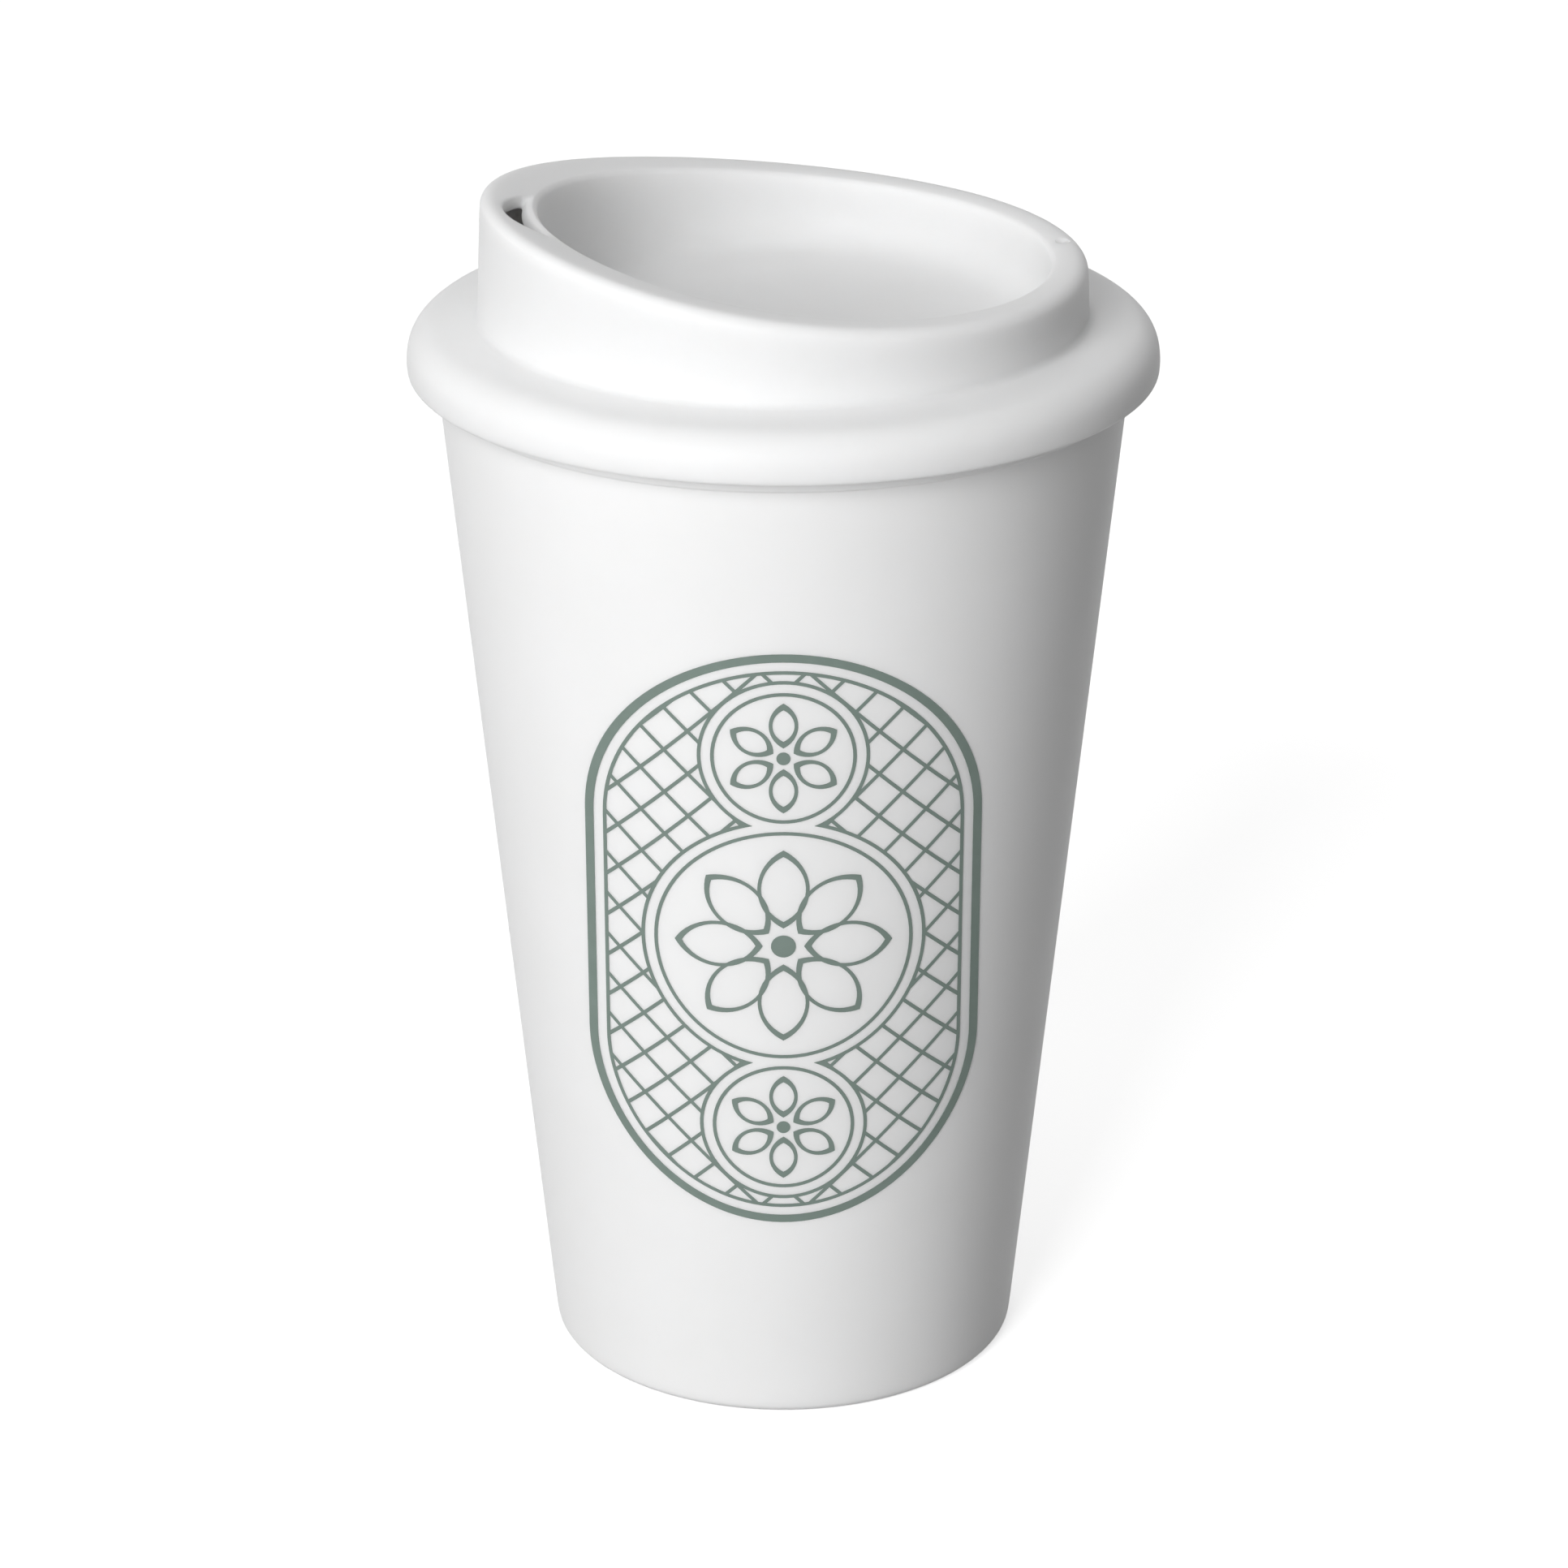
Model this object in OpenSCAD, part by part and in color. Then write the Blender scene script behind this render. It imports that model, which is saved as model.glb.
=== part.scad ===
// Reusable coffee cup: a tapered moulded cup, a screw lid with a swept collar, a sealing ring
// and a printed emblem. The foot stands on z = 0, Z is the cup's axis and the print faces -Y.

/* [Cup] */
// Radius that the outer wall would have at z = 0, before the foot is rounded
foot_r = 30.9; // [28:0.1:34]
// Outer radius of the wall at its rim, hidden under the lid's flange
rim_r = 44.65; // [42:0.05:50]
// Height of the cup's rim
rim_z = 139.3; // [120:0.1:160]
// Rounding of the foot's outer edge
foot_round = 1.5; // [0.5:0.1:3]
// Thickness of the wall, square to the axis
cup_wall = 2.3; // [1.8:0.1:3]
// Thickness of the floor
cup_floor_t = 2.4; // [1.6:0.1:4]
// Rounding between the floor and the wall inside
floor_round = 5; // [2:0.5:8]
// Depth of the recess under the floor
foot_recess = 1.2; // [0.6:0.1:2]
// Width of the ring that the cup stands on
foot_ring_w = 3; // [2:0.1:6]
// Depth of the straight bore at the mouth
mouth_depth = 10.3; // [9.6:0.1:14]
// Thickness of the wall at the mouth
mouth_wall = 3.35; // [3:0.05:3.8]
// Height of the band at the top of the wall, mostly hidden under the lid's flange
band_h = 5.7; // [4.5:0.1:8]
// How far the band stands out from the wall
band_out = 0.25; // [0.1:0.05:0.5]

/* [Thread] */
// Rise of the lid in one full turn
thread_lead = 12; // [10:0.5:15]
// Number of thread starts
thread_starts = 3; // [2:1:3]
// Height of the ridges, square to the axis
ridge_h = 0.8; // [0.5:0.05:1]
// Width of a ridge at its root
ridge_w = 1.5; // [1:0.1:1.8]
// Angle that each ridge of the cup covers
cup_ridge_turn = 60; // [30:5:90]
// Angle that each ridge of the lid covers
lid_ridge_turn = 105; // [60:5:110]
// Clearance between a crest and the wall it runs along
crest_gap = 0.35; // [0.3:0.05:0.5]
// Clearance between the flanks of two ridges
flank_gap = 0.35; // [0.3:0.05:0.5]

/* [Seal] */
// Thickness of the sealing ring
seal_t = 1.2; // [0.8:0.1:2]
// Clearance beside the sealing ring
seal_gap = 0.3; // [0.2:0.05:0.4]

/* [Lid flange] */
// Clearance between the cup's band and the flange's skirt
skirt_gap = 1.3; // [0.8:0.05:3]
// Height of the flange from its lower edge to its top at the collar
flange_h = 6.85; // [6.2:0.05:10]
// Rounding of the flange's upper outer edge
flange_round = 4.7; // [3:0.1:5.5]
// Rise of the flange's top from its rounding to the collar
flange_rise = 0.2; // [0:0.05:0.5]
// Thickness of the lid's walls
lid_wall = 1.8; // [1.4:0.1:2]
// Thickness of the flange's top
plate_t = 2; // [1.6:0.1:3]
// Length of the plug below the flange's top plate
plug_h = 10.2; // [9.5:0.1:11]

/* [Lid collar] */
// Distance of the collar's outer wall inside the plug's
collar_step = 1.25; // [0.6:0.05:1.5]
// Angle by which the collar's wall leans in, as a moulded wall does to leave its mould
collar_draft = 2.2; // [0:0.1:3]
// Height of the rim at its low side, above the flange's top
collar_low_h = 7.4; // [6:0.1:16]
// Radius of the arc that the rim sweeps up along
sweep_r = 345; // [250:5:900]
// Rounding of the rim's outer edge
lip_round = 1.7; // [1.4:0.1:2.4]
// Rounding of the rim's inner edge
well_edge_round = 0.9; // [0.4:0.1:1.2]
// How far the rim slopes down from its crest to the well
lip_slope = 0.3; // [0:0.1:0.6]
// Width of the rim, from the collar's outer wall to the well's, where the well is central
lip_w = 6.4; // [6.2:0.1:8]
// Distance of the well's centre from the axis, away from the drink slot
well_shift = 1.45; // [0:0.05:1.6]
// Height of the well's floor below the flange's top
well_floor_drop = 1.1; // [0:0.1:1.5]
// Draft of the well's wall, from its edge to its floor
well_draft = 0.4; // [0.2:0.1:1]
// Rounding between the well's wall and its floor
well_floor_round = 2; // [1:0.1:3]
// Angle by which the tight lid's drink slot stands past -X, towards the print
lid_stop = 10.5; // [0:0.5:45]

/* [Drink slot and vent] */
// Length of the drink slot, from tip to tip
slot_l = 15.6; // [12:0.2:18]
// Width of the drink slot at its middle
slot_w = 2.6; // [2:0.1:3]
// Width of the rim between the well and the drink slot
slot_margin = 1.6; // [1.4:0.1:1.8]
// Diameter of the vent
vent_d = 1; // [0.8:0.1:1.1]
// Depth of the dimple round the vent
dimple_h = 0.6; // [0.2:0.05:0.8]

/* [Print] */
// Height of the print's centre
print_z = 71; // [62:0.5:75]
// Width of the print
print_w = 50; // [40:1:52]
// Height of the print
print_h = 82; // [70:1:88]
// Thickness of the ink
ink_t = 0.08; // [0.05:0.01:0.12]
// Width of the print's outer line
bold_line = 1.1; // [0.8:0.1:1.6]
// Width of the print's fine lines
fine_line = 0.45; // [0.4:0.05:0.7]
// Distance between the lines of the print's lattice
lattice_pitch = 4.2; // [3:0.1:8]

/* [Hidden] */
$fn = 144;

// Rounding of small edges, such as the ends of walls
edge_round = 0.35;
// Steps of a quarter turn in a rounded corner of a revolved outline
corner_steps = 6;
// Corners of each ring of the lofted collar
collar_sides = 96;
// Steps in the roundings of the lofted collar
lip_steps = 6;
edge_steps = 4;
// Length that joined pieces reach into each other
bite = 0.6;

plastic = [0.95, 0.95, 0.945];
ink = [0.44, 0.5, 0.47];
silicone = [0.86, 0.87, 0.87];

// Cup heights and radii
cup_slope = (rim_r - foot_r) / rim_z;
function wall_r(z) = foot_r + cup_slope * z;
floor_z = foot_recess + cup_floor_t;
mouth_z = rim_z - mouth_depth;
mouth_r = rim_r - mouth_wall;
band_z = rim_z - band_h;
rim_round = 0.5;

// Lid radii, from the skirt inwards
flange_r = rim_r + band_out + skirt_gap + lid_wall;
plug_r = mouth_r - ridge_h - crest_gap;
plug_bore_r = plug_r - lid_wall;
collar_r = plug_r - collar_step;
collar_bore_r = collar_r - lid_wall;
well_r = collar_r - lip_w;
plate_bore_r = collar_bore_r - bite;

// Lid heights
plate_z = rim_z + seal_t;
flange_top_z = plate_z + plate_t;
flange_edge_z = flange_top_z - flange_h;
plug_end_z = plate_z - plug_h;
well_z = flange_top_z - well_floor_drop;
collar_foot_z = flange_top_z - plate_t / 2;
low_rim_z = flange_top_z + collar_low_h;
foot_fillet = 1;
fillet_top_z = flange_top_z + 2 * foot_fillet;
// Depth of the foot fillet's upper end inside the collar's wall
tuck = 0.05;

// Bare band between the lines and motifs of the print
line_gap = 1.2;
// Angle of the cup's wall that the print may cover
print_turn = 130;

// Thread heights: the cup's ridges lie over the lid's, a flank gap apart
crest_w = ridge_w / 2;
lid_ridge_z = plug_end_z + ridge_w;
ridge_offset = ridge_w + flank_gap;

// Points of a rounded corner b between a and c
function unit(v) = v / norm(v);
function corner(a, b, c, r) =
    let (
        u = unit(a - b),
        w = unit(c - b),
        half = acos(u * w) / 2,
        centre = b + unit(u + w) * r / sin(half),
        first = b + u * r / tan(half) - centre,
        start = atan2(first[1], first[0]),
        sweep = (cross(u, w) < 0 ? 1 : -1) * (180 - 2 * half),
        steps = max(1, ceil(abs(sweep) / 90 * corner_steps))
    )
    r == 0 ? [b] : [
        for (i = [0 : steps])
            centre + r * [cos(start + sweep * i / steps), sin(start + sweep * i / steps)]
    ];

// Outline through corners [x, y, rounding]
function outline(points) =
    let (n = len(points))
    [
        for (i = [0 : n - 1])
            let (
                a = points[(i + n - 1) % n],
                b = points[i],
                c = points[(i + 1) % n]
            )
            each corner([a[0], a[1]], [b[0], b[1]], [c[0], c[1]], b[2])
    ];

// Solid of revolution of an outline
module turned(points) {
    rotate_extrude() polygon(outline(points));
}

// Closed surface through rings of equal length: rings[i] joins rings[i + 1]
module loft(rings, closed_loop = false) {
    n = len(rings[0]);
    m = len(rings);
    bands = closed_loop ? m : m - 1;
    points = [for (ring = rings) each ring];
    sides = [
        for (i = [0 : bands - 1], j = [0 : n - 1])
            let (
                p = i * n + j,
                q = i * n + (j + 1) % n,
                r = ((i + 1) % m) * n + (j + 1) % n,
                s = ((i + 1) % m) * n + j
            )
            each [[p, q, r], [p, r, s]]
    ];
    ends = closed_loop ? [] : [
        [for (j = [0 : n - 1]) n - 1 - j],
        [for (j = [0 : n - 1]) (m - 1) * n + j]
    ];
    polyhedron(points, concat(sides, ends), convexity = 10);
}

// Thread ridge that rises anticlockwise from angle 0, on a wall of radius r
// side is 1 for a ridge that stands outwards and -1 for one that stands inwards
module ridge(r, side, z, turn) {
    steps = ceil(turn / 5);
    root = r - side * bite;
    rings = [
        for (i = [0 : steps])
            let (
                a = turn * i / steps,
                end = i == 0 || i == steps,
                crest = r + side * (end ? -bite / 4 : ridge_h),
                mid = z + thread_lead * a / 360,
                section = [
                    [root, mid - side * ridge_w / 2],
                    [crest, mid - side * crest_w / 2],
                    [crest, mid + side * crest_w / 2],
                    [root, mid + side * ridge_w / 2]
                ]
            )
            [for (p = section) [p[0] * cos(a), p[0] * sin(a), p[1]]]
    ];
    loft(rings);
}

// Full set of ridges, one for each start
module ridges(r, side, z, turn) {
    for (i = [0 : thread_starts - 1]) {
        rotate([0, 0, i * 360 / thread_starts]) ridge(r, side, z, turn);
    }
}

// Cup: foot ring, tapered wall, straight mouth with thread ridges
module cup_body() {
    recess_r = foot_r - foot_ring_w;
    color(plastic) union() {
        turned([
            [0, foot_recess, 0],
            [recess_r - foot_recess, foot_recess, edge_round],
            [recess_r, 0, edge_round],
            [foot_r, 0, foot_round],
            [wall_r(band_z), band_z, 0],
            [wall_r(band_z) + band_out, band_z + band_out, band_out / 2],
            [rim_r + band_out, rim_z, rim_round],
            [mouth_r, rim_z, rim_round],
            [mouth_r, mouth_z, 2 * rim_round],
            [wall_r(floor_z) - cup_wall, floor_z, floor_round],
            [0, floor_z, 0]
        ]);
        ridges(mouth_r, -1, lid_ridge_z + ridge_offset, cup_ridge_turn);
    }
}

// Lean of the collar's wall at a height
function lean(z) = tan(collar_draft) * (z - collar_foot_z);

// Height of the swept rim at a place x along the lid, with the drink slot at -x
function rim_height(x) =
    low_rim_z + sweep_r - sqrt(sweep_r ^ 2 - (collar_r - x) ^ 2);

// Rings of the collar, clockwise as seen from above: level, parallel to the swept rim about a
// centre at x = shift, or the same about the axis and drawn in by the lean of the wall
function level_ring(shift, r, z) = [
    for (i = [0 : collar_sides - 1])
        let (a = -360 * i / collar_sides)
        [shift + r * cos(a), r * sin(a), z]
];
function swept_ring(shift, r, drop) = [
    for (i = [0 : collar_sides - 1])
        let (
            a = -360 * i / collar_sides,
            x = shift + r * cos(a)
        )
        [x, r * sin(a), rim_height(x) - drop]
];
function leaning_ring(r, drop) = [
    for (i = [0 : collar_sides - 1])
        let (
            a = -360 * i / collar_sides,
            wall_top = rim_height(collar_r * cos(a)) - lip_round,
            s = r - lean(wall_top),
            x = s * cos(a)
        )
        [x, s * sin(a), rim_height(x) - drop]
];

// Collar, rim, well and floor as one hollow shell, open below
module collar() {
    edge_r = well_r + well_edge_round;
    well_foot_r = well_r - well_draft;
    disc_r = well_foot_r - well_floor_round - bite;
    rings = [
        level_ring(0, collar_r, collar_foot_z),
        for (i = [0 : lip_steps])
            let (a = 90 * i / lip_steps)
            leaning_ring(collar_r - lip_round * (1 - cos(a)), lip_round * (1 - sin(a))),
        for (i = [0 : edge_steps])
            let (a = 90 * i / edge_steps)
            swept_ring(
                well_shift,
                edge_r - well_edge_round * sin(a),
                lip_slope + well_edge_round * (1 - cos(a))
            ),
        for (i = [0 : edge_steps])
            let (a = 90 * i / edge_steps)
            level_ring(
                well_shift,
                well_foot_r - well_floor_round * (1 - cos(a)),
                well_z + well_floor_round * (1 - sin(a))
            ),
        level_ring(well_shift, disc_r - bite, well_z),
        level_ring(well_shift, disc_r - bite, well_z - lid_wall),
        for (i = [edge_steps : -1 : 0])
            let (a = 90 * i / edge_steps)
            level_ring(
                well_shift,
                well_foot_r + lid_wall - well_floor_round * (1 - cos(a)),
                well_z - lid_wall + well_floor_round * (1 - sin(a))
            ),
        swept_ring(well_shift, well_r + lid_wall, lid_wall + lip_slope),
        leaning_ring(collar_bore_r, lid_wall),
        level_ring(0, collar_bore_r, collar_foot_z)
    ];
    loft(rings, closed_loop = true);
    // Middle of the well's floor
    translate([well_shift, 0, well_z - lid_wall]) cylinder(r = disc_r, h = lid_wall);
}

// Flange, its top plate and the plug, as one revolved section
module flange_and_plug() {
    turned([
        [flange_r - lid_wall, flange_edge_z, edge_round],
        [flange_r, flange_edge_z, edge_round],
        [flange_r, flange_top_z - flange_rise, flange_round],
        [collar_r - tuck - lean(flange_top_z), flange_top_z, foot_fillet],
        [collar_r - tuck - lean(fillet_top_z), fillet_top_z, 0],
        [collar_r - lid_wall / 2, fillet_top_z, 0],
        [plate_bore_r, flange_top_z - plate_t / 4, 0],
        [plate_bore_r, plate_z, 0],
        [plug_bore_r, plate_z, 2 * edge_round],
        [plug_bore_r, plug_end_z, edge_round],
        [plug_r, plug_end_z, edge_round],
        [plug_r, plate_z, 0],
        [flange_r - lid_wall, plate_z, flange_round - lid_wall]
    ]);
}

// Slot through the rim at the drink side: it follows the well on one side and bows out on the
// other, so that its two arcs meet in a tip at each end
module drink_slot() {
    inner_r = well_r + slot_margin;
    tip_x = sqrt(inner_r ^ 2 - (slot_l / 2) ^ 2) - well_shift;
    bow = inner_r - well_shift + slot_w - tip_x;
    bow_r = ((slot_l / 2) ^ 2 + bow ^ 2) / 2 / bow;
    low = rim_height(-tip_x) - lip_slope - lid_wall - bite;
    high = rim_height(-collar_r);
    translate([0, 0, low]) difference() {
        translate([bow_r - bow - tip_x, 0, 0]) cylinder(r = bow_r, h = high - low);
        translate([well_shift, 0, -bite]) cylinder(r = inner_r, h = high - low + 2 * bite);
    }
}

// Round vent through the rim at the low side, at the bottom of a small dimple
module vent() {
    bore_top_r = collar_bore_r - lean(low_rim_z - lip_round);
    vent_x = (bore_top_r + well_r + lid_wall + well_shift) / 2;
    dimple_top = dimple_h + lid_wall;
    translate([vent_x, 0, low_rim_z]) {
        translate([0, 0, -2 * lid_wall]) cylinder(d = vent_d, h = 4 * lid_wall);
        translate([0, 0, -dimple_h]) {
            cylinder(d1 = vent_d, d2 = vent_d + 2 * dimple_top, h = dimple_top);
        }
    }
}

// Lid: one shell, turned to where it stops when it is tight
module lid() {
    color(plastic) rotate([0, 0, lid_stop]) {
        difference() {
            union() {
                flange_and_plug();
                collar();
            }
            drink_slot();
            vent();
        }
        rotate([0, 0, -lid_stop]) ridges(plug_r, 1, lid_ridge_z, lid_ridge_turn);
    }
}

// Flat ring between the cup's rim and the lid's plate
module sealing_ring() {
    inner_r = plug_r + seal_gap;
    outer_r = min(rim_r - rim_round, flange_r - flange_round) - seal_gap;
    color(silicone) turned([
        [inner_r, rim_z, edge_round],
        [outer_r, rim_z, edge_round],
        [outer_r, plate_z, edge_round],
        [inner_r, plate_z, edge_round]
    ]);
}

// Upright panel with round ends, w wide and h high
module panel(w, h) {
    for (side = [-1, 1]) {
        translate([0, side * (h - w) / 2]) circle(d = w);
    }
    square([w, h - w], center = true);
}

// Line along the inside of a panel's edge
module panel_line(w, h, line) {
    difference() {
        panel(w, h);
        panel(w - 2 * line, h - 2 * line);
    }
}

// Ring of outer radius r
module ring(r, line) {
    difference() {
        circle(r = r);
        circle(r = r - line);
    }
}

// Petal from the origin along +Y, made by two crossing circles
module petal(length, width) {
    r = (length ^ 2 + width ^ 2) / 4 / width;
    intersection() {
        translate([width / 2 - r, length / 2]) circle(r = r);
        translate([r - width / 2, length / 2]) circle(r = r);
    }
}

// Flower of outlined petals about a dot
module flower(count, hub, length, width) {
    circle(r = hub * 0.6);
    for (i = [0 : count - 1]) {
        rotate(i * 360 / count) translate([0, hub]) difference() {
            petal(length, width);
            translate([0, 2 * fine_line]) petal(length - 4 * fine_line, width - 2 * fine_line);
        }
    }
}

// Round medallion with a flower in it
module medallion(r, count) {
    ring(r, fine_line);
    flower(count, r * 0.16, r * 0.68, r * 0.4);
}

// Lines both ways across a square field, set on its corner
module lattice(size) {
    lines = ceil(size / lattice_pitch / 2);
    for (turn = [45, 135], i = [-lines : lines]) {
        rotate(turn) translate([i * lattice_pitch, 0]) square([fine_line, 2 * size], center = true);
    }
}

// Three discs in a column, a large one between two small ones
module discs(big_r, small_r, small_y) {
    circle(r = big_r);
    for (side = [-1, 1]) {
        translate([0, side * small_y]) circle(r = small_r);
    }
}

// Flat drawing of the print, about its own centre
module print_drawing() {
    inner_w = print_w - 2 * (bold_line + line_gap);
    inner_h = print_h - 2 * (bold_line + line_gap);
    big_r = inner_w * 0.36;
    small_r = inner_w * 0.2;
    small_y = big_r + small_r + line_gap;
    panel_line(print_w, print_h, bold_line);
    panel_line(inner_w, inner_h, fine_line);
    medallion(big_r, 8);
    for (side = [-1, 1]) {
        translate([0, side * small_y]) medallion(small_r, 6);
    }
    // Lattice behind the medallions, ended by a line round all three
    border = line_gap + fine_line;
    difference() {
        intersection() {
            panel(inner_w - fine_line, inner_h - fine_line);
            union() {
                lattice(inner_h);
                discs(big_r + border, small_r + border, small_y);
            }
        }
        discs(big_r + line_gap, small_r + line_gap, small_y);
    }
}

// Ink skin on the front of the cup's wall
module printed_emblem() {
    low = print_z - print_h / 2 - bold_line;
    high = print_z + print_h / 2 + bold_line;
    color(ink) intersection() {
        rotate_extrude(start = 270 - print_turn / 2, angle = print_turn) {
            polygon([
                [wall_r(low), low],
                [wall_r(low) + ink_t, low],
                [wall_r(high) + ink_t, high],
                [wall_r(high), high]
            ]);
        }
        translate([0, 0, print_z]) rotate([90, 0, 0]) linear_extrude(rim_r + 2) print_drawing();
    }
}

cup_body();
lid();
sealing_ring();
printed_emblem();
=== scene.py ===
# %% [markdown]
# # A reusable coffee cup with a screw lid
#
# The real object is white moulded plastic: a tapered cup, a lid that screws into its mouth, a
# soft ring that seals the two, and a print on the front. All of it comes out of smooth steel
# moulds, so its beauty is in soft, even roundings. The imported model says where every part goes,
# and this notebook gives each one its finished surface.

# %% The fixed frame
import math
import bpy
from mathutils import Matrix, Vector


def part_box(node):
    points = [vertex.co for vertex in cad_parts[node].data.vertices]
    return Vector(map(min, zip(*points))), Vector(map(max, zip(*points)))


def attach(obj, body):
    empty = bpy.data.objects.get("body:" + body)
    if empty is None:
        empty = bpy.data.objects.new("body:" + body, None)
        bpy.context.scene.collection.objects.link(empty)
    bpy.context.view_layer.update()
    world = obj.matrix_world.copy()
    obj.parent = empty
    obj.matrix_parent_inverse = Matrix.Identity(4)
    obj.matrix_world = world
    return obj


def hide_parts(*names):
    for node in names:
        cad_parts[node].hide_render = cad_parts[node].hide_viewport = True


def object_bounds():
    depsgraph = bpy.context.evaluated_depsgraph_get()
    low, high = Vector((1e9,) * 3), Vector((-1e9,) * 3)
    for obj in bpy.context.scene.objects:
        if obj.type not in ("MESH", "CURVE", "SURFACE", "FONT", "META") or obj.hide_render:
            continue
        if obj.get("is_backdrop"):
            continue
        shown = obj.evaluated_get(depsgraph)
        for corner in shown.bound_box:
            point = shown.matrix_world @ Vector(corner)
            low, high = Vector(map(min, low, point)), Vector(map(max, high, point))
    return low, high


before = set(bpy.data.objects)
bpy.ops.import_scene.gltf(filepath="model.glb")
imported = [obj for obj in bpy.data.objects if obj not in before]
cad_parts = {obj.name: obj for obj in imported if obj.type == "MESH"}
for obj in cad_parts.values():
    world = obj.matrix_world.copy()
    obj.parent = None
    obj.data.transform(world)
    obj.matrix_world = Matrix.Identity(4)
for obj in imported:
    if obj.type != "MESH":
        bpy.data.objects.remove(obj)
cad_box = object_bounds()

# %% [markdown]
# ## Sizes
#
# Lengths below are in millimetres, because a maker thinks of a cup that way, and `MM` turns them
# into Blender's metres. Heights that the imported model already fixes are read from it, so that
# the finished surfaces lie on the fixed parts and not near them.

# %% Sizes from the frame
MM = 0.001
_, cup_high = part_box("cup_body")
lid_low, lid_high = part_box("lid")
_, seal_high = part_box("sealing_ring")

rim_z = cup_high.z / MM
plate_z = seal_high.z / MM
plug_end_z = lid_low.z / MM
flange_r = lid_high.y / MM
print("cup rim at", round(rim_z, 2), "mm, lid plate at", round(plate_z, 2), "mm")

# %% Sizes of the cup
foot_r = 30.9
rim_r = 44.65
foot_round = 1.5
foot_ring_w = 3
foot_recess = 1.2
floor_z = 3.6
floor_round = 5
cup_wall = 2.3
band_z = rim_z - 5.7
band_out = 0.25
mouth_r = 41.3
mouth_z = rim_z - 10.3


def wall_r(z):
    """Outer radius of the cup's wall at a height."""
    return foot_r + (rim_r - foot_r) * z / rim_z


# %% Sizes of the lid
lid_wall = 1.8
flange_top_z = plate_z + 2
flange_edge_z = flange_top_z - 6.85
flange_round = 4.2
flange_rise = 0.95
plug_r = 40.15
collar_r = 38.9
collar_foot_z = flange_top_z - 1
collar_draft = math.radians(2.2)
well_r = 32.5
well_shift = 1.45
well_z = flange_top_z - 1.1
well_floor_round = 5
low_rim_z = flange_top_z + 7.4
lip_round = 1.7
lip_slope = 0.3
sweep_r = 345
lid_stop = math.radians(10.5)


def lean(z):
    """How far the collar's wall has leaned in at a height."""
    return math.tan(collar_draft) * (z - collar_foot_z)


# %% [markdown]
# ## Turned outlines
#
# A cup is a shape of revolution. By hand it is quick to make: start from a circle, extrude its
# edge, move and scale the new ring, and go on ring by ring along the outline. The helper below
# does just that. `rounded` first puts an arc into each corner of the outline, because a mould
# has no sharp inner corners. A Subdivision Surface then makes the rings perfectly smooth. Its
# limit lies a little inside the rings, and `ROUND_FIT` makes up for that.

# %% Helpers for rings
COLUMNS = 80
ROUND_FIT = 3 / (2 + math.cos(2 * math.pi / COLUMNS))


def deselect_all():
    """Leaves edit mode and selects nothing, so that the next operator finds only its own piece."""
    if bpy.context.object and bpy.context.object.mode != "OBJECT":
        bpy.ops.object.mode_set(mode="OBJECT")
    bpy.ops.object.select_all(action="DESELECT")


def rounded(corners, fine=24, coarse=46, small=0.6):
    """Stations (radius, height, shift) along corners (radius, height, rounding, shift)."""
    stations = []
    for i, (r, z, rounding, shift) in enumerate(corners):
        here = Vector((r, z))
        if rounding == 0:
            stations.append((r, z, shift))
            continue
        back = (Vector(corners[i - 1][:2]) - here).normalized()
        ahead = (Vector(corners[i + 1][:2]) - here).normalized()
        half = back.angle(ahead) / 2
        middle = here + (back + ahead).normalized() * rounding / math.sin(half)
        first = here + back * rounding / math.tan(half) - middle
        turn = math.pi - 2 * half
        if back.x * ahead.y - back.y * ahead.x > 0:
            turn = -turn
        steps = math.ceil(math.degrees(abs(turn)) / (coarse if rounding < small else fine))
        for k in range(steps + 1):
            point = middle + Matrix.Rotation(turn * k / steps, 2) @ first
            stations.append((point.x, point.y, shift))
    return stations


def turn_rings(name, stations):
    """A closed shell through stations, whose first and last lie on the axis."""
    deselect_all()
    _, z, _ = stations[0]
    r, _, shift = stations[1]
    bpy.ops.mesh.primitive_circle_add(
        vertices=COLUMNS,
        radius=r * ROUND_FIT * MM,
        fill_type="TRIFAN",
        location=(shift * MM, 0, z * MM),
    )
    shell = bpy.context.object
    shell.name = name
    bpy.ops.object.transform_apply(location=True, rotation=True, scale=True)
    bpy.ops.object.mode_set(mode="EDIT")
    bpy.ops.mesh.select_all(action="SELECT")
    bpy.ops.mesh.region_to_loop()
    for next_r, next_z, next_shift in stations[2:]:
        step = ((next_shift - shift) * MM, 0, (next_z - z) * MM)
        bpy.ops.mesh.extrude_region_move(TRANSFORM_OT_translate={"value": step})
        if next_r == 0:
            bpy.ops.mesh.merge(type="CENTER")
            break
        grow = next_r / r
        centre = (next_shift * MM, 0, next_z * MM)
        bpy.ops.transform.resize(value=(grow, grow, 1), center_override=centre)
        r, z, shift = next_r, next_z, next_shift
    bpy.ops.mesh.select_all(action="SELECT")
    bpy.ops.mesh.normals_make_consistent(inside=False)
    bpy.ops.object.mode_set(mode="OBJECT")
    print(name, "has", len(stations), "rings of", COLUMNS)
    return shell


def select_faces(shell, wanted):
    """In edit mode, selects only the faces for which wanted(centre, normal) holds, in millimetres."""
    bpy.ops.object.mode_set(mode="OBJECT")
    for vertex in shell.data.vertices:
        vertex.select = False
    for edge in shell.data.edges:
        edge.select = False
    count = 0
    for face in shell.data.polygons:
        face.select = wanted(face.center / MM, face.normal)
        count += face.select
    bpy.ops.object.mode_set(mode="EDIT")
    bpy.ops.mesh.select_mode(type="FACE")
    return count


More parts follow.
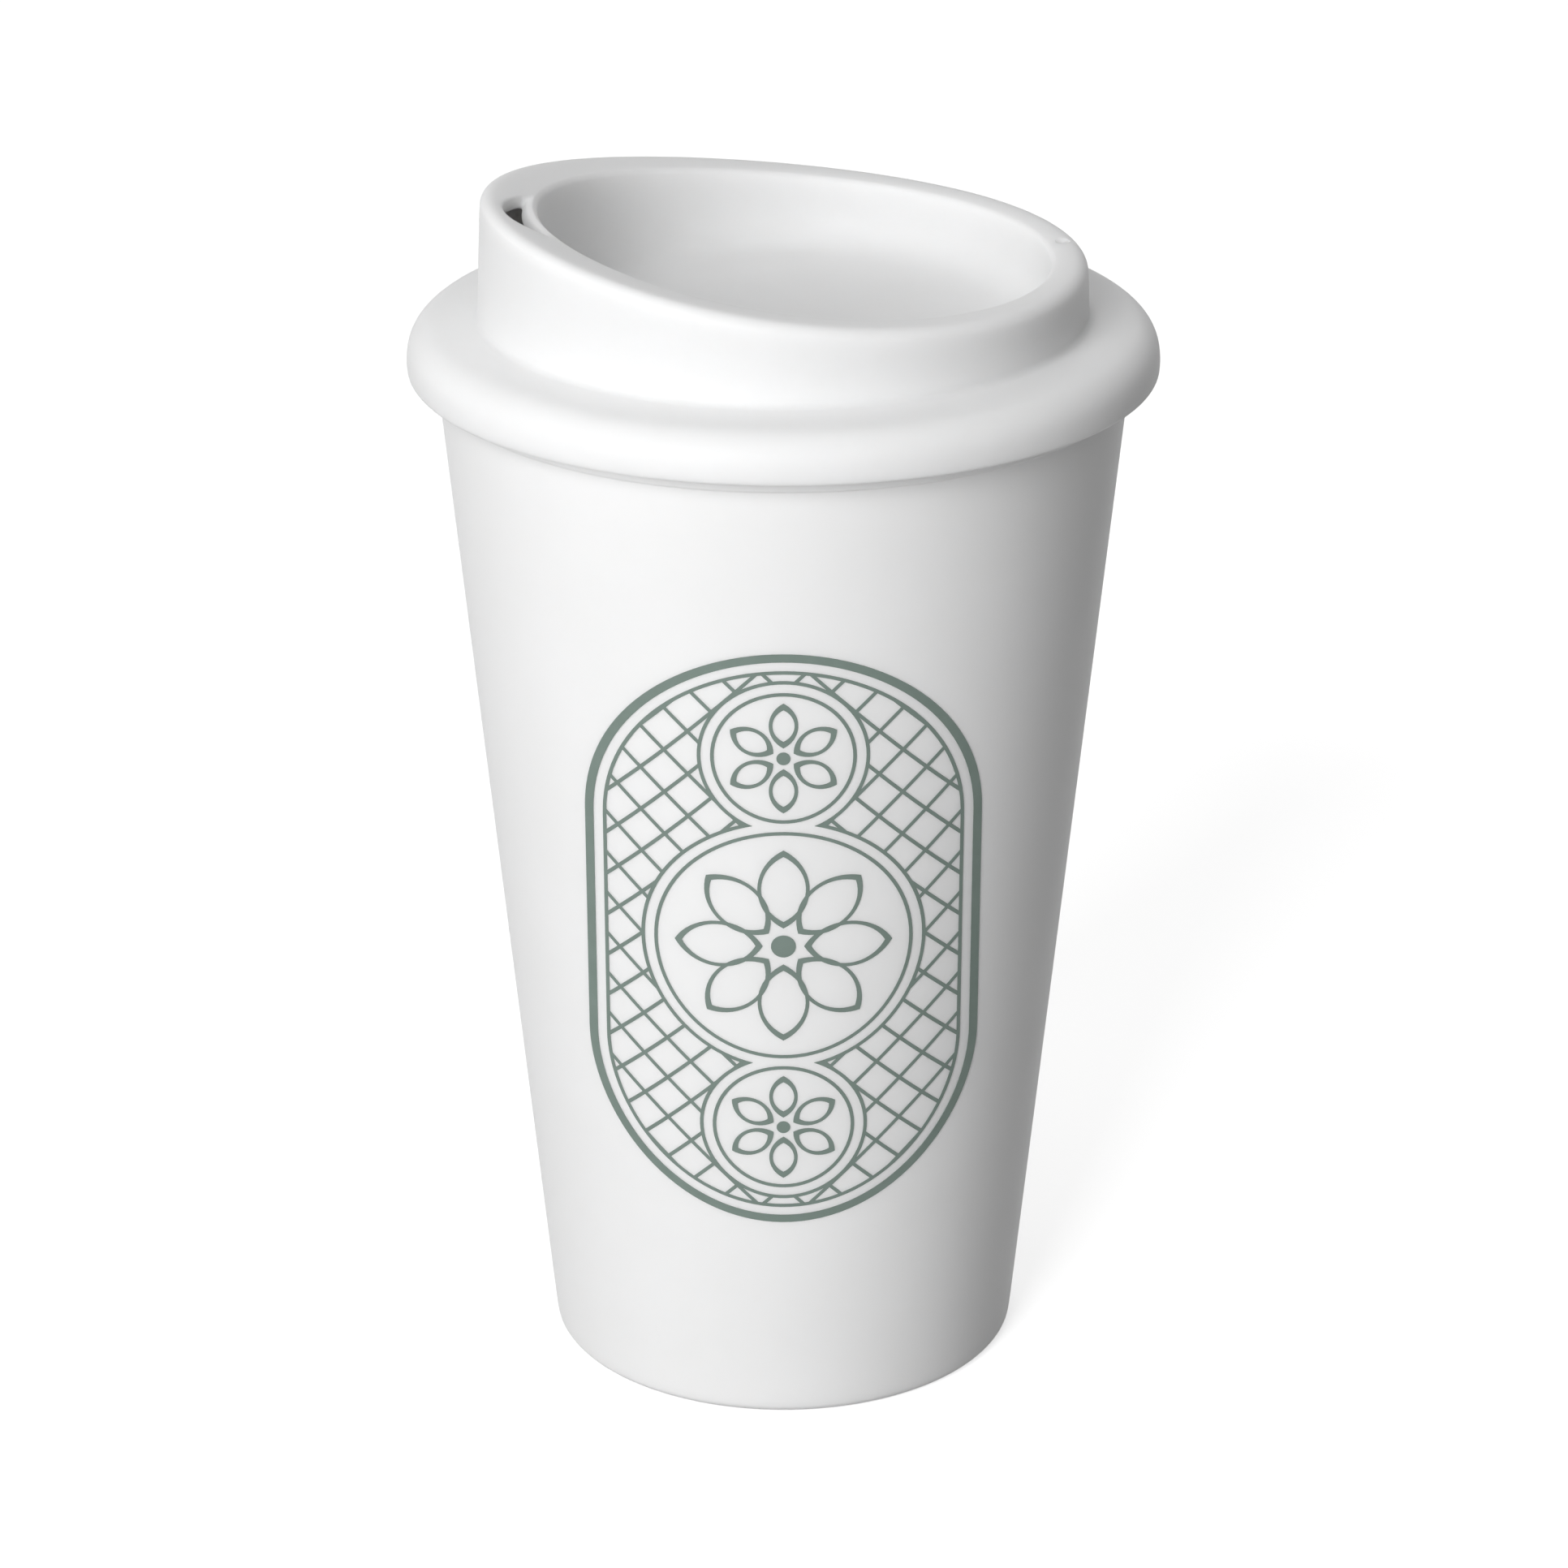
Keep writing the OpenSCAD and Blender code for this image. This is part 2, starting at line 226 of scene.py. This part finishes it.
def smooth(shell, levels):
    """Subdivides a shell for good."""
    deselect_all()
    shell.select_set(True)
    bpy.context.view_layer.objects.active = shell
    finer = shell.modifiers.new("smooth", "SUBSURF")
    finer.levels = levels
    finer.render_levels = levels
    bpy.ops.object.modifier_apply(modifier=finer.name)


def boolean(shell, tool, operation):
    """Adds a tool's solid to a shell, or cuts it away, and removes the tool."""
    deselect_all()
    shell.select_set(True)
    bpy.context.view_layer.objects.active = shell
    cut = shell.modifiers.new("join", "BOOLEAN")
    cut.object = tool
    cut.operation = operation
    cut.solver = "EXACT"
    bpy.ops.object.modifier_apply(modifier=cut.name)
    bpy.data.objects.remove(tool)


# %% [markdown]
# ## Thread ridges
#
# The lid needs only a fraction of a turn to close, so three short ridges, a third of a turn
# apart, run along the plug, and three more inside the cup's mouth run over them. A Screw
# modifier sweeps a small four-sided section up a helix. Its ends are then sunk into the wall,
# because a moulded ridge fades out and has no blunt face.

# %% One set of ridges
thread_lead = 12
thread_starts = 3
ridge_h = 0.8
ridge_w = 1.5
flank_gap = 0.35
bite = 0.6


def thread_ridges(name, r, side, z, turn_deg):
    """Ridges on a wall of radius r that stand outwards, side 1, or inwards, side -1."""
    deselect_all()
    bpy.ops.mesh.primitive_plane_add(size=1, location=(0, 0, 0))
    ridge = bpy.context.object
    ridge.name = name
    root, crest = r - side * bite, r + side * ridge_h
    section = [
        (root, z - ridge_w / 2),
        (crest, z - ridge_w / 4),
        (root, z + ridge_w / 2),
        (crest, z + ridge_w / 4),
    ]
    for vertex, (x, up) in zip(ridge.data.vertices, section):
        vertex.co = Vector((x, 0, up)) * MM
    bpy.ops.object.mode_set(mode="EDIT")
    bpy.ops.mesh.select_all(action="SELECT")
    bpy.ops.mesh.delete(type="ONLY_FACE")
    bpy.ops.object.mode_set(mode="OBJECT")
    sweep = ridge.modifiers.new("sweep", "SCREW")
    sweep.axis = "Z"
    sweep.angle = math.radians(turn_deg)
    sweep.screw_offset = thread_lead * turn_deg / 360 * MM
    sweep.steps = sweep.render_steps = turn_deg // 3
    bpy.ops.object.modifier_apply(modifier=sweep.name)
    for vertex in ridge.data.vertices:
        turned = math.degrees(math.atan2(vertex.co.y, vertex.co.x))
        if turned < 0.1 or turned > turn_deg - 0.1:
            sunk = (r - side * bite / 4) * MM
            flat = Vector((vertex.co.x, vertex.co.y, 0))
            if (flat.length - sunk) * side > 0:
                vertex.co -= flat.normalized() * (flat.length - sunk)
    bpy.ops.object.mode_set(mode="EDIT")
    bpy.ops.mesh.select_all(action="SELECT")
    bpy.ops.mesh.fill_holes(sides=4)
    bpy.ops.mesh.select_all(action="SELECT")
    bpy.ops.mesh.normals_make_consistent(inside=False)
    bpy.ops.object.mode_set(mode="OBJECT")
    copies = [ridge]
    for i in range(1, thread_starts):
        copy = ridge.copy()
        copy.data = ridge.data.copy()
        bpy.context.collection.objects.link(copy)
        copy.data.transform(Matrix.Rotation(i * 2 * math.pi / thread_starts, 4, "Z"))
        copies.append(copy)
    deselect_all()
    for copy in copies:
        copy.select_set(True)
    bpy.context.view_layer.objects.active = ridge
    bpy.ops.object.join()
    print(name, "is", thread_starts, "ridges,", len(ridge.data.polygons), "faces")
    return ridge


# %% [markdown]
# ## The cup
#
# The outline runs from the middle of the underside, over the foot ring, up the tapered wall,
# round the mouth, down the straight bore and back along the inner wall to the floor. Just below
# the lid the wall steps out by a quarter of a millimetre: this proud band makes the mouth
# stiffer, and its lower edge shows as a fine line under the flange. The small dimple underneath
# the cup, with a pip in its middle, is where the plastic was injected.

# %% Cup shell
gate_r = 4
gate_depth = 0.35
pip_h = 0.25
pip_top_r = 0.7
pip_foot_r = 0.9
recess_r = foot_r - foot_ring_w
wall_heights = (6, 24, 42, 60, 78, 96, 114, 130, 133)
bore_shares = (0.1, 0.3, 0.5, 0.7, 0.9)

outside = [
    (0, foot_recess + gate_depth - pip_h, 0, 0),
    (pip_top_r, foot_recess + gate_depth - pip_h, 0.1, 0),
    (pip_foot_r, foot_recess + gate_depth, 0.1, 0),
    (gate_r - gate_depth, foot_recess + gate_depth, 0.1, 0),
    (gate_r, foot_recess, 0.1, 0),
    (recess_r - foot_recess, foot_recess, 0.35, 0),
    (recess_r, 0, 0.35, 0),
    (foot_r, 0, foot_round, 0),
]
for z in wall_heights:
    outside.append((wall_r(z), z, 0, 0))
outside += [
    (wall_r(band_z), band_z, 0.08, 0),
    (wall_r(band_z) + band_out, band_z + band_out, 0.1, 0),
    (rim_r + band_out, rim_z, 0.5, 0),
    (mouth_r, rim_z, 0.5, 0),
    (mouth_r, mouth_z, 1, 0),
]
inner_foot_r = wall_r(floor_z) - cup_wall
inside = []
for share in bore_shares:
    z = mouth_z + (floor_z - mouth_z) * share
    inside.append((mouth_r + (inner_foot_r - mouth_r) * share, z, 0, 0))
inside += [
    (inner_foot_r, floor_z, floor_round, 0),
    (inner_foot_r / 2, floor_z, 0, 0),
    (0, floor_z, 0, 0),
]
cup_shell = turn_rings("cup_shell", rounded(outside + inside))
smooth(cup_shell, 2)

# %% Ridges in the cup's mouth
lid_ridge_z = plug_end_z + ridge_w
cup_ridge_z = lid_ridge_z + ridge_w + flank_gap
boolean(cup_shell, thread_ridges("cup_ridges", mouth_r, -1, cup_ridge_z, 60), "UNION")
print("cup has", len(cup_shell.data.polygons), "faces")

# %% [markdown]
# ## The lid
#
# The lid is one shell too: a flat well in the middle, a rim round it, the collar's wall, the fat
# flange that covers the cup's rim, and below it the plug. The collar's wall leans in by two
# degrees, because a straight wall would stick in its mould. The well isn't quite central: it is
# pushed away from the drinking side, which leaves the rim wide enough there for the slot. A ring
# can carry a shift for that. The outline below is the lid as if its rim were level.

# %% Level lid
edge_round = 0.9
well_foot_r = well_r - 0.4
crown_ring = (36, low_rim_z - 0.07, 0, 0.2)
bore_r = collar_r - lid_wall
bore_top_z = low_rim_z - lid_wall
bore_round = 0.4
upper = [
    (0, well_z, 0, well_shift),
    (well_foot_r / 2, well_z, 0, well_shift),
    (well_foot_r, well_z, well_floor_round, well_shift),
    (well_r, low_rim_z - lip_slope, edge_round, well_shift),
    crown_ring,
    (collar_r - lean(low_rim_z - lip_round), low_rim_z, lip_round, 0),
    (collar_r - lean(flange_top_z), flange_top_z, 1, 0),
    (flange_r, flange_top_z - flange_rise, flange_round, 0),
    (flange_r, flange_edge_z, 0.5, 0),
]
lower = [
    (flange_r - lid_wall, flange_edge_z, 0.5, 0),
    (flange_r - lid_wall, plate_z, 2.9, 0),
    (plug_r, plate_z, 0.3, 0),
    (plug_r, plug_end_z, 0.4, 0),
    (plug_r - lid_wall, plug_end_z, 0.4, 0),
    (plug_r - lid_wall, plate_z, 0.3, 0),
    (bore_r, plate_z, 0.3, 0),
    (bore_r - lean(bore_top_z), bore_top_z, bore_round, 0),
    (well_r + lid_wall, bore_top_z - lip_slope, 0.15, well_shift),
    (well_foot_r + lid_wall, well_z - lid_wall, well_floor_round + 0.5, well_shift),
    (well_foot_r / 2, well_z - lid_wall, 0, well_shift),
    (0, well_z - lid_wall, 0, well_shift),
]
lid_shell = turn_rings("lid_shell", rounded(upper + lower))

# %% [markdown]
# ## The drink slot
#
# A slot cut with a Boolean would have knife edges, and moulded plastic never has. So the slot is
# made in the rings themselves. Eight faces on top of the rim are inset three times, and each new
# loop of points is laid along the slot's outline: the long side follows the well, the other one
# bows out, and they come close together at both ends. The first loop stays on the rim, the second
# lies on the rounded edge and the third in the throat. On the well's side that edge is twice as
# soft, so the rim leads over into the slot. Two loops underneath do the same, and a bridge joins
# the two sides into a tunnel.

# %% Outline of the slot
slot_half = 8.4
slot_margin = 1.6
bow_r = 11.6
bow_x = -24
bow_share = 0.95
end_growth = 1.1
slot_half_deg = 18.5
top_faces_r = (32.5, 35)
under_faces_r = (33.3, 36.2)
flat_enough = 0.9


def slot_point(share, outer, grow_in, grow_out):
    """Point of the outline, share -1 to 1 from tip to tip, with its two sides moved outwards."""
    y = share * (slot_half + end_growth * (grow_in + grow_out))
    if outer:
        y *= bow_share
        return bow_x - math.sqrt((bow_r + grow_out) ** 2 - y**2), y
    r = well_r + slot_margin - grow_in
    return well_shift - math.sqrt(r**2 - y**2), y


def strip_pairs(shell):
    """Inner and outer point of each column of the selected strip of faces, from end to end."""
    bpy.ops.object.mode_set(mode="OBJECT")
    used = {i for face in shell.data.polygons if face.select for i in face.vertices}
    points = sorted((shell.data.vertices[i] for i in used), key=lambda vertex: vertex.co.y)
    pairs = [points[i : i + 2] for i in range(0, len(points), 2)]
    return [sorted(pair, key=lambda vertex: vertex.co.xy.length) for pair in pairs]


def lay_loop(shell, grow_in, grow_out, z_in, z_out):
    """Insets the selected strip of faces and lays its new loop along the slot's outline."""
    bpy.ops.mesh.inset(thickness=0.03 * MM, depth=0)
    pairs = strip_pairs(shell)
    for column, pair in enumerate(pairs):
        share = 2 * column / (len(pairs) - 1) - 1
        for vertex, outer, z in zip(pair, (False, True), (z_in, z_out)):
            x, y = slot_point(share, outer, grow_in, grow_out)
            vertex.co = Vector((x, y, z)) * MM
    bpy.ops.object.mode_set(mode="EDIT")
    return len(pairs)


def in_slot(centre):
    """True for a face centre between the slot's ends, with the slot at -x."""
    return centre.x < 0 and abs(math.degrees(math.atan2(centre.y, -centre.x))) < slot_half_deg


def on_top(centre, normal):
    """True for the faces that the slot replaces on top of the rim."""
    near, far = top_faces_r
    level = normal.z > flat_enough and centre.z > bore_top_z
    return in_slot(centre) and level and near < centre.xy.length < far


def underneath(centre, normal):
    """True for the faces that the slot replaces on the rim's underside."""
    near, far = under_faces_r
    level = normal.z < -flat_enough and bore_top_z - lip_slope < centre.z < bore_top_z
    return in_slot(centre) and level and near < centre.xy.length < far


# %% Slot through the rim
rim_in = low_rim_z - lip_slope
rim_out = low_rim_z - 0.09
room_for_edge = 0.2
under = bore_top_z - lip_slope / 2
deselect_all()
bpy.context.view_layer.objects.active = lid_shell
lid_shell.select_set(True)
print("slot faces on top:", select_faces(lid_shell, on_top))
for inner, _ in strip_pairs(lid_shell):
    narrower = (inner.co.xy.length - room_for_edge * MM) / inner.co.xy.length
    inner.co.x *= narrower
    inner.co.y *= narrower
bpy.ops.object.mode_set(mode="EDIT")
lay_loop(lid_shell, 0.72, 0.35, rim_in - 0.03, rim_out)
lay_loop(lid_shell, 0.25, 0.1, rim_in - 0.3, rim_out - 0.1)
lay_loop(lid_shell, -0.05, 0, rim_in - 0.9, rim_out - 0.35)
bpy.ops.object.mode_set(mode="OBJECT")
slot_top = [face.index for face in lid_shell.data.polygons if face.select]
print("slot faces below:", select_faces(lid_shell, underneath))
lay_loop(lid_shell, -0.4, 0.1, under, under)
columns = lay_loop(lid_shell, -0.35, 0, under + 0.2, under + 0.2)
print("slot loops have", columns, "pairs of points")
bpy.ops.object.mode_set(mode="OBJECT")
for index in slot_top:
    lid_shell.data.polygons[index].select = True
bpy.ops.object.mode_set(mode="EDIT")
bpy.ops.mesh.bridge_edge_loops()
bpy.ops.object.mode_set(mode="OBJECT")

# %% [markdown]
# ## Sweeping the rim up
#
# The level lid now gets its slant. Every point above the flange is lifted along a large arc that
# starts flat at the low side and rises towards the drinking side. The lift fades out down the
# collar's wall and down the well, so the flange and the well's floor stay level. Where the wall
# gets taller it also leans in further, which keeps its angle the same all round. Then the lid is
# turned to where it stops when it is tight.

# %% Lift and stop
fade_low_z = flange_top_z + 1
fade_high_z = bore_top_z - lip_slope - bore_round
lean_from_r = 36
lean_full_r = 36.8


def lift(x):
    """How far the swept rim stands above its low side, at a place x along the lid."""
    return sweep_r - math.sqrt(sweep_r**2 - (collar_r - x) ** 2)


def share_between(low, high, value):
    """0 below low, 1 above high, and even in between."""
    return min(1, max(0, (value - low) / (high - low)))


for vertex in lid_shell.data.vertices:
    x, y, z = vertex.co / MM
    raised = share_between(fade_low_z, fade_high_z, z) * lift(x)
    away = math.hypot(x, y)
    if raised > 0 and away > lean_from_r:
        drawn_in = math.tan(collar_draft) * raised * share_between(lean_from_r, lean_full_r, away)
        vertex.co.x *= 1 - drawn_in / away
        vertex.co.y *= 1 - drawn_in / away
    vertex.co.z += raised * MM
smooth(lid_shell, 2)

# %% [markdown]
# ## The vent
#
# Air has to get in while the drink runs out. The vent is a round hole at the bottom of a small
# dimple. It is far smaller than the faces round it, so here a Boolean is the better way, with a
# cutter whose flared top leaves a soft edge: rings extruded and scaled, as for the shells.

# %% Vent opposite the slot
vent_x = 36.3
vent_rings = [(0.5, -3), (0.5, -0.6), (0.98, -0.14), (1.14, -0.03), (1.45, 0.05), (1.8, 0.6)]
deselect_all()
vent_r, vent_z = vent_rings[0]
bpy.ops.mesh.primitive_circle_add(
    vertices=48,
    radius=vent_r * MM,
    fill_type="NGON",
    location=(vent_x * MM, 0, (low_rim_z + vent_z) * MM),
)
vent = bpy.context.object
bpy.ops.object.transform_apply(location=True, rotation=True, scale=True)
bpy.ops.object.mode_set(mode="EDIT")
bpy.ops.mesh.select_all(action="SELECT")
bpy.ops.mesh.region_to_loop()
for next_r, next_z in vent_rings[1:]:
    step = (0, 0, (next_z - vent_z) * MM)
    bpy.ops.mesh.extrude_region_move(TRANSFORM_OT_translate={"value": step})
    centre = (vent_x * MM, 0, (low_rim_z + next_z) * MM)
    bpy.ops.transform.resize(value=(next_r / vent_r,) * 2 + (1,), center_override=centre)
    vent_r, vent_z = next_r, next_z
bpy.ops.mesh.edge_face_add()
bpy.ops.mesh.select_all(action="SELECT")
bpy.ops.mesh.normals_make_consistent(inside=False)
bpy.ops.object.mode_set(mode="OBJECT")
boolean(lid_shell, vent, "DIFFERENCE")

deselect_all()
lid_shell.select_set(True)
bpy.context.view_layer.objects.active = lid_shell
lid_shell.rotation_euler.z = lid_stop
bpy.ops.object.transform_apply(location=True, rotation=True, scale=True)

# %% Ridges on the plug
boolean(lid_shell, thread_ridges("lid_ridges", plug_r, 1, lid_ridge_z, 105), "UNION")
print("lid has", len(lid_shell.data.polygons), "faces")

# %% Smooth shading
for shell in (cup_shell, lid_shell):
    deselect_all()
    shell.select_set(True)
    bpy.context.view_layer.objects.active = shell
    bpy.ops.object.shade_smooth_by_angle(angle=math.radians(35))

# %% [markdown]
# ## Finishes
#
# The plastic is satin white polypropylene. Up close such a surface isn't mirror smooth: the
# mould was blasted with fine beads, which leaves a grain of about a fifth of a millimetre that
# softens the highlights, and the walls let a little light through, most of all in the thinner
# lid. The print is a flat ink that lies on the wall, a shade rougher, with a fine grain of its own.
# The seal is soft, dull silicone.

# %% Plastic, ink and silicone


def new_material(name):
    material = bpy.data.materials.new(name)
    material.use_nodes = True
    return material, material.node_tree.nodes, material.node_tree.links


def add_grain(nodes, links, shader, size_mm, strength, depth_mm):
    """Fine grain of the mould, as bump on the shader's normal."""
    place = nodes.new("ShaderNodeTexCoord")
    grain = nodes.new("ShaderNodeTexNoise")
    grain.inputs["Scale"].default_value = 1 / (size_mm * MM)
    grain.inputs["Detail"].default_value = 3
    grain.inputs["Roughness"].default_value = 0.6
    bump = nodes.new("ShaderNodeBump")
    bump.inputs["Strength"].default_value = strength
    bump.inputs["Distance"].default_value = depth_mm * MM
    links.new(place.outputs["Object"], grain.inputs["Vector"])
    links.new(grain.outputs["Fac"], bump.inputs["Height"])
    links.new(bump.outputs["Normal"], shader.inputs["Normal"])
    return place


def add_mottle(nodes, links, shader, place, dark, light, size_mm):
    """Soft change of colour over the surface, between two close tones."""
    mottle = nodes.new("ShaderNodeTexNoise")
    mottle.inputs["Scale"].default_value = 1 / (size_mm * MM)
    mottle.inputs["Detail"].default_value = 2
    tones = nodes.new("ShaderNodeValToRGB")
    tones.color_ramp.elements[0].position = 0.3
    tones.color_ramp.elements[0].color = (*dark, 1)
    tones.color_ramp.elements[1].position = 0.7
    tones.color_ramp.elements[1].color = (*light, 1)
    links.new(place.outputs["Object"], mottle.inputs["Vector"])
    links.new(mottle.outputs["Fac"], tones.inputs["Fac"])
    links.new(tones.outputs["Color"], shader.inputs["Base Color"])


def add_gloss(nodes, links, shader, place, low, high, size_mm):
    """Patches that shine a little more or less, as handled plastic has."""
    patches = nodes.new("ShaderNodeTexNoise")
    patches.inputs["Scale"].default_value = 1 / (size_mm * MM)
    patches.inputs["Detail"].default_value = 4
    spread = nodes.new("ShaderNodeMapRange")
    spread.inputs["To Min"].default_value = low
    spread.inputs["To Max"].default_value = high
    links.new(place.outputs["Object"], patches.inputs["Vector"])
    links.new(patches.outputs["Fac"], spread.inputs["Value"])
    links.new(spread.outputs["Result"], shader.inputs["Roughness"])


def moulded_plastic(name, dark, light, share, depth_mm):
    """Satin plastic between two tones; a share of the light goes some depth into it."""
    material, nodes, links = new_material(name)
    shader = nodes["Principled BSDF"]
    shader.inputs["IOR"].default_value = 1.49
    shader.inputs["Specular IOR Level"].default_value = 0.12
    shader.inputs["Subsurface Weight"].default_value = share
    shader.inputs["Subsurface Radius"].default_value = (1, 0.97, 0.94)
    shader.inputs["Subsurface Scale"].default_value = depth_mm * MM
    place = add_grain(nodes, links, shader, 0.22, 0.25, 0.02)
    add_mottle(nodes, links, shader, place, dark, light, 18)
    add_gloss(nodes, links, shader, place, 0.4, 0.5, 9)
    return material


white_plastic = moulded_plastic("white_plastic", (0.87, 0.87, 0.868), (0.89, 0.89, 0.89), 0.4, 2.5)
# The lid's two tones are a shade darker than the cup's, though lid and cup are one white plastic:
# that small difference is painted shade.
lid_plastic = moulded_plastic("lid_plastic", (0.865, 0.865, 0.863), (0.885, 0.885, 0.885), 0.65, 4)

ink, nodes, links = new_material("print_ink")
shader = nodes["Principled BSDF"]
shader.inputs["Specular IOR Level"].default_value = 0.35
place = add_grain(nodes, links, shader, 0.15, 0.3, 0.01)
add_mottle(nodes, links, shader, place, (0.165, 0.215, 0.19), (0.18, 0.232, 0.207), 2.5)
add_gloss(nodes, links, shader, place, 0.5, 0.65, 3)

silicone, nodes, links = new_material("soft_silicone")
shader = nodes["Principled BSDF"]
shader.inputs["Subsurface Weight"].default_value = 0.4
shader.inputs["Subsurface Radius"].default_value = (1, 1, 1)
shader.inputs["Subsurface Scale"].default_value = 1.5 * MM
place = add_grain(nodes, links, shader, 0.4, 0.2, 0.02)
add_mottle(nodes, links, shader, place, (0.62, 0.64, 0.64), (0.68, 0.7, 0.7), 6)
add_gloss(nodes, links, shader, place, 0.55, 0.7, 4)


def paint(piece, material):
    """Gives a piece one material in place of all others."""
    piece.data.materials.clear()
    piece.data.materials.append(material)


paint(cup_shell, white_plastic)
paint(lid_shell, lid_plastic)
paint(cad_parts["printed_emblem"], ink)
paint(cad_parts["sealing_ring"], silicone)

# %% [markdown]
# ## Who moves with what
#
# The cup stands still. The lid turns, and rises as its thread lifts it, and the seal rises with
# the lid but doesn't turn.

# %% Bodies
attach(cup_shell, "cup")
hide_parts("cup_body")
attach(lid_shell, "lid")
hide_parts("lid")

# %% [markdown]
# ## Camera
#
# The photograph looks down on the cup at a steep angle from less than a metre away, so the body
# tapers strongly and the lid shows its well. The camera's place, tilt and lens were worked out
# from the cup's own ellipses and outline.

# %% Camera
photo_px = 1932
sensor_mm = 36
focal_px = 6537
tilt = math.radians(22.684)
distance = 700.11
look_z = 77.3
centre_px = 965.3

camera_data = bpy.data.cameras.new("camera")
camera_data.sensor_width = sensor_mm
camera_data.lens = focal_px / photo_px * sensor_mm
camera_data.shift_x = (photo_px / 2 - centre_px) / photo_px
camera = bpy.data.objects.new("camera", camera_data)
bpy.context.scene.collection.objects.link(camera)
camera.location = Vector((0, -math.cos(tilt), math.sin(tilt))) * distance * MM
camera.location.z += look_z * MM
camera.rotation_euler = (math.pi / 2 - tilt, 0, 0)
bpy.context.scene.camera = camera
print("camera lens", round(camera_data.lens, 1), "mm")

# %% [markdown]
# ## Floor, lamps and background
#
# A white object on white needs light with a direction, or it disappears. Two soft lamps in front
# on the left do the work, one above and one behind light the top of the lid, and a weak one far
# on the left draws the edge there. What is seen behind is plain white. It comes from the colour that
# the floor and the world show to the camera, and to reflected and refracted rays, and not from
# extra light, so the cup keeps its shades and its shadow on the floor.

# %% A switch for what is only seen


def seen_switch(nodes, links):
    """1 for rays that show a surface to the eye, 0 for rays that carry light between surfaces."""
    path = nodes.new("ShaderNodeLightPath")
    total = path.outputs["Is Camera Ray"]
    for kind in ("Is Glossy Ray", "Is Transmission Ray"):
        either = nodes.new("ShaderNodeMath")
        either.operation = "MAXIMUM"
        links.new(total, either.inputs[0])
        links.new(path.outputs[kind], either.inputs[1])
        total = either.outputs["Value"]
    return total


# %% Floor
floor_size = 6
deselect_all()
bpy.ops.mesh.primitive_plane_add(size=floor_size, location=(0, 0, 0))
floor = bpy.context.object
floor.name = "floor"
floor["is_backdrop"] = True
pale, nodes, links = new_material("pale_floor")
nodes.clear()
matt = nodes.new("ShaderNodeBsdfDiffuse")
matt.inputs["Color"].default_value = (0.8, 0.8, 0.8, 1)
glow = nodes.new("ShaderNodeEmission")
glow.inputs["Strength"].default_value = 0.65
bounce = nodes.new("ShaderNodeBsdfDiffuse")
bounce.inputs["Color"].default_value = (0.35, 0.35, 0.35, 1)
both = nodes.new("ShaderNodeAddShader")
either = nodes.new("ShaderNodeMixShader")
output = nodes.new("ShaderNodeOutputMaterial")
links.new(matt.outputs["BSDF"], both.inputs[0])
links.new(glow.outputs["Emission"], both.inputs[1])
links.new(seen_switch(nodes, links), either.inputs["Fac"])
links.new(bounce.outputs["BSDF"], either.inputs[1])
links.new(both.outputs["Shader"], either.inputs[2])
links.new(either.outputs["Shader"], output.inputs["Surface"])
paint(floor, pale)

# %% World
world = bpy.data.worlds.new("studio")
bpy.context.scene.world = world
world.use_nodes = True
nodes, links = world.node_tree.nodes, world.node_tree.links
nodes.clear()
room = nodes.new("ShaderNodeBackground")
room.inputs["Color"].default_value = (1, 1, 1, 1)
room.inputs["Strength"].default_value = 0.2
white = nodes.new("ShaderNodeBackground")
white.inputs["Color"].default_value = (1, 1, 1, 1)
white.inputs["Strength"].default_value = 1
either = nodes.new("ShaderNodeMixShader")
output = nodes.new("ShaderNodeOutputWorld")
links.new(seen_switch(nodes, links), either.inputs["Fac"])
links.new(room.outputs["Background"], either.inputs[1])
links.new(white.outputs["Background"], either.inputs[2])
links.new(either.outputs["Shader"], output.inputs["Surface"])

# %% Lamps
lamp_size = 0.6
lamp_away = 1.3
cup_middle = Vector((0, 0, 0.08))


def soft_lamp(name, turn_deg, height_deg, watts):
    """Square lamp that looks at the cup, turned from the front to the right and raised."""
    data = bpy.data.lights.new(name, "AREA")
    data.size = lamp_size
    data.energy = watts
    lamp = bpy.data.objects.new(name, data)
    bpy.context.scene.collection.objects.link(lamp)
    turn, height = math.radians(turn_deg), math.radians(height_deg)
    flat = math.cos(height)
    towards = Vector((math.sin(turn) * flat, -math.cos(turn) * flat, math.sin(height)))
    lamp.location = cup_middle + towards * lamp_away
    lamp.rotation_euler = towards.to_track_quat("Z", "Y").to_euler()
    print(name, "at", [round(v, 2) for v in lamp.location], "with", watts, "W")


soft_lamp("front_high", -25, 30, 9.4)
soft_lamp("front_low", -25, 8, 6.3)
soft_lamp("top", 0, 89, 1.9)
soft_lamp("behind", 180, 55, 1.7)
soft_lamp("far_left", -120, 8, 1)

bpy.context.scene.view_settings.view_transform = "Standard"

# %% Boxes and the end
seen_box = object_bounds()
for low, high in (cad_box, seen_box):
    print("box", [round(v / MM, 2) for v in (*low, *high)])
